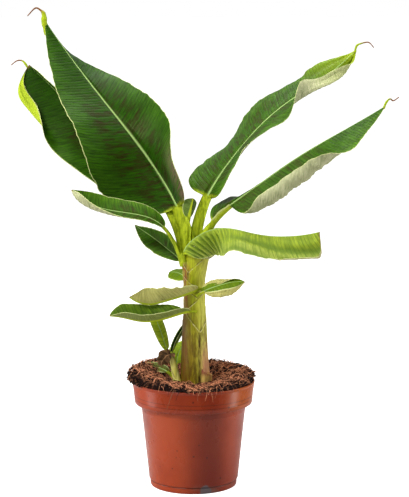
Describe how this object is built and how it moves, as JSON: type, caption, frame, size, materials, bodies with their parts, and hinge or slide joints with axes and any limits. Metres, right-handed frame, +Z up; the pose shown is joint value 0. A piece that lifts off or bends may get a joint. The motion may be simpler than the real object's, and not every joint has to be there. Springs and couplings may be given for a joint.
{
  "type": "potted banana plant",
  "caption": "Young banana plant with a sheathed stem, arching paddle leaves and a side shoot, standing in a tapered plastic nursery pot filled with coir.",
  "frame": {"origin": "centre of the pot's flat underside", "axes": "+Z up, +X to the plant's right and +Y to its back, with the tallest leaf leaning to -X"},
  "size_m": [0.4099, 0.1828, 0.5258],
  "materials": {
    "pot_plastic": "gloss",
    "coir": "matte",
    "stem_green": "satin",
    "cut_sheath": "matte",
    "leaf_green": "satin",
    "fresh_green": "satin",
    "dry_brown": "matte"
  },
  "bodies": {
    "root": {"pot": "pot_plastic", "soil": "coir", "pseudostem": "stem_green", "shoot_stem": "stem_green", "cut_stub": "cut_sheath", "leaf_tall_left": "leaf_green", "leaf_back_left": "leaf_green", "leaf_upper_right": "leaf_green", "leaf_lower_right": "leaf_green", "leaf_mid_left": "leaf_green", "leaf_short_left": "leaf_green", "leaf_nub": "leaf_green", "leaf_low_left": "leaf_green", "leaf_front_right": "fresh_green", "leaf_low_front": "fresh_green", "leaf_low_right": "fresh_green", "shoot_leaf_pale": "fresh_green", "shoot_leaf_dark": "leaf_green", "shoot_leaf_broad": "leaf_green", "ground_leaf": "leaf_green", "dry_sheath": "dry_brown"}
  },
  "joints": []
}
